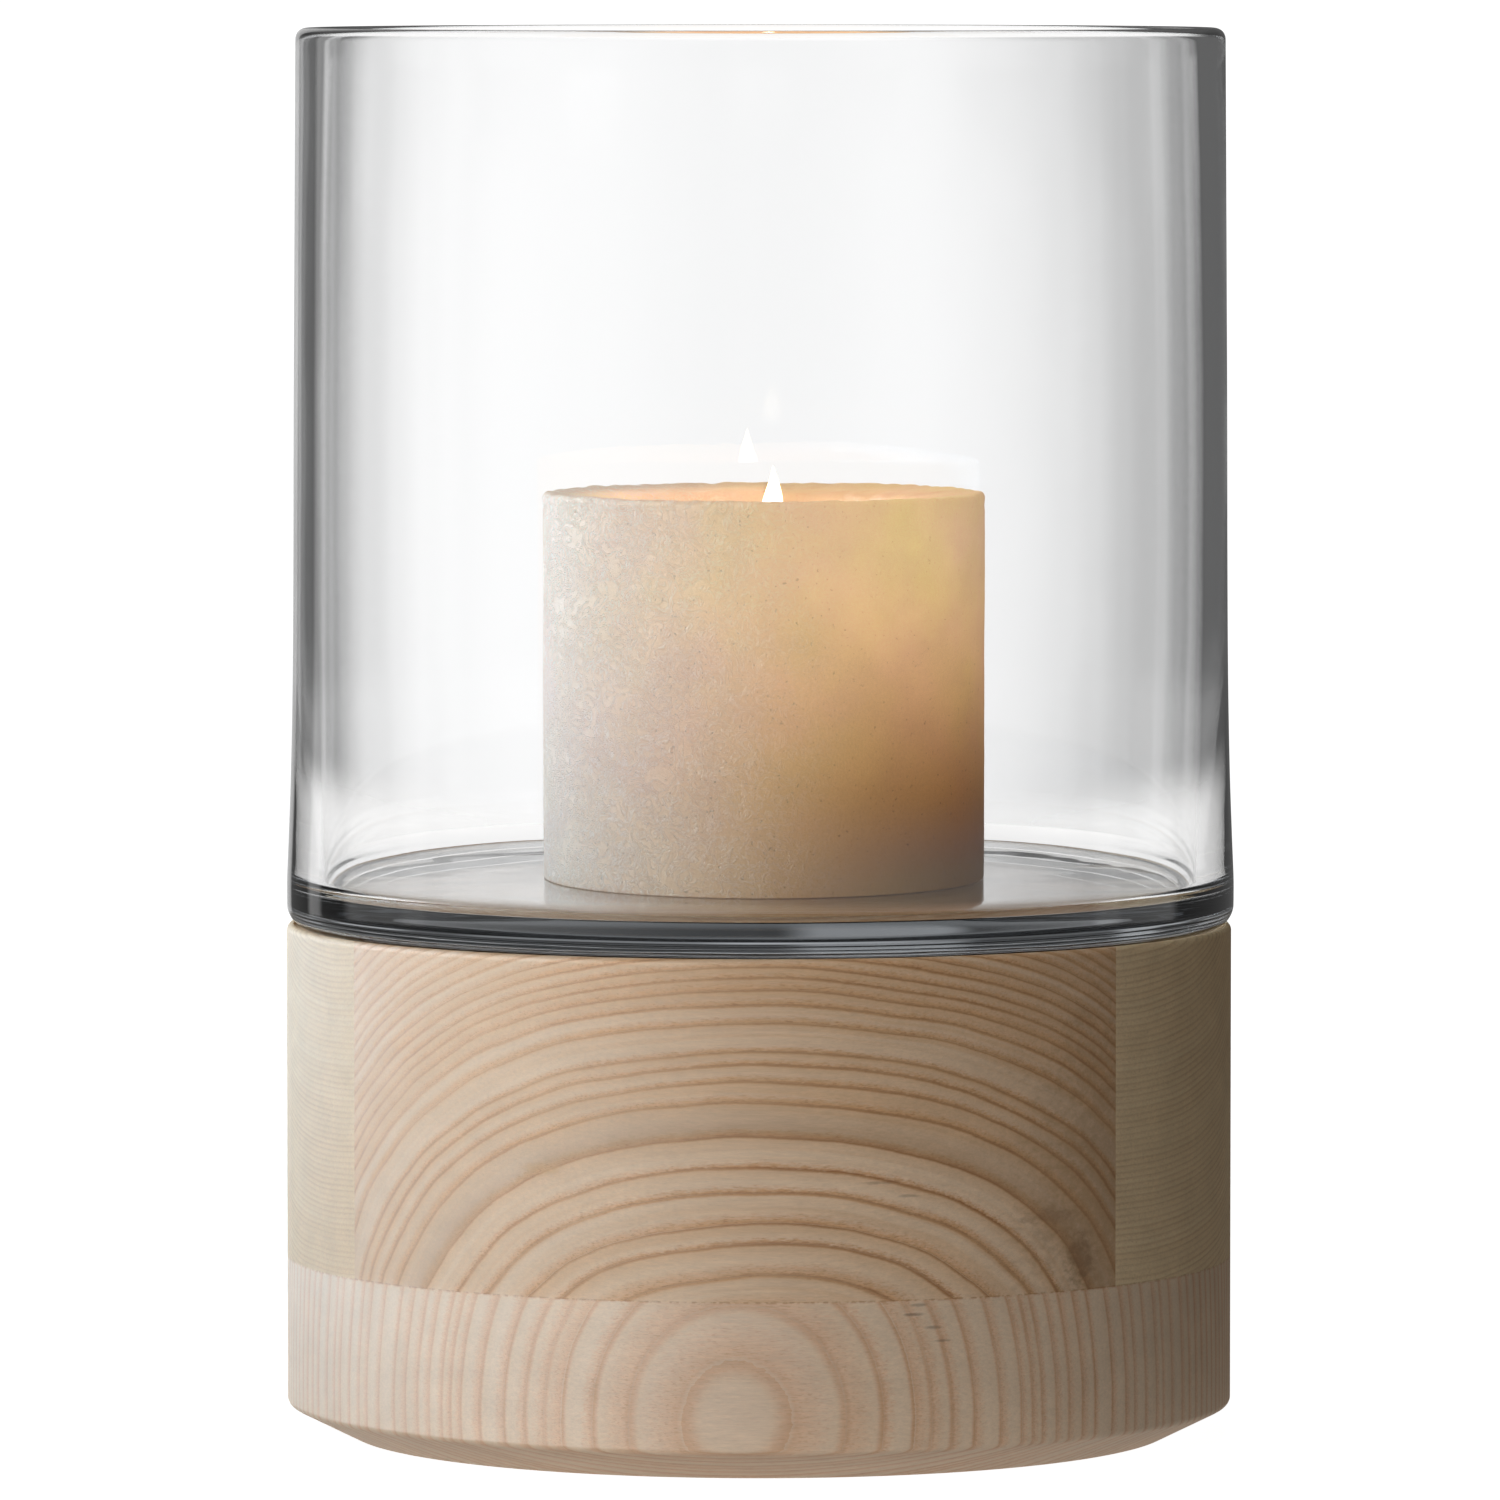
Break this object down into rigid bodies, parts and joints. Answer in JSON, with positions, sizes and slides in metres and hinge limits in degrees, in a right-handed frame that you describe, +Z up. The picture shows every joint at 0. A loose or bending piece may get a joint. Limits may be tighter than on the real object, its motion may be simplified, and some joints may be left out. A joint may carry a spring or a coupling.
{
  "type": "hurricane candle lantern",
  "caption": "Open-topped thick glass cylinder standing on a turned, laminated ash base, with a pillar candle burning on the glass floor.",
  "frame": {"origin": "centre of the wooden base's flat underside", "axes": "+Z up along the axis of the base and the glass, -Y towards the front, +X to the right seen from the front"},
  "size_m": [0.2136, 0.2136, 0.3165],
  "materials": {
    "ash_wood": "bare ash, fine sanded, thin matt oil",
    "clear_glass": "clear, fire polished",
    "candle_wax": "ivory paraffin wax with a crystalline bloom, satin",
    "wick_cotton": "braided cotton, waxed, charred at the tip",
    "wick_tab_steel": "thin tinned steel pressing"
  },
  "bodies": {
    "base": {"base_lower_board": "ash_wood", "base_centre_board": "ash_wood", "base_left_board": "ash_wood", "base_right_board": "ash_wood"},
    "glass": {"glass_cylinder": "clear_glass"},
    "candle": {"candle_wax": "candle_wax", "wick": "wick_cotton", "wick_tab": "wick_tab_steel"}
  },
  "joints": [
    {"name": "glass_lift", "type": "slide", "parent": "base", "child": "glass", "axis": [0, 0, 1], "range_m": [0, 0.12]},
    {"name": "candle_lift", "type": "slide", "parent": "glass", "child": "candle", "axis": [0, 0, 1], "range_m": [0, 0.21]}
  ]
}
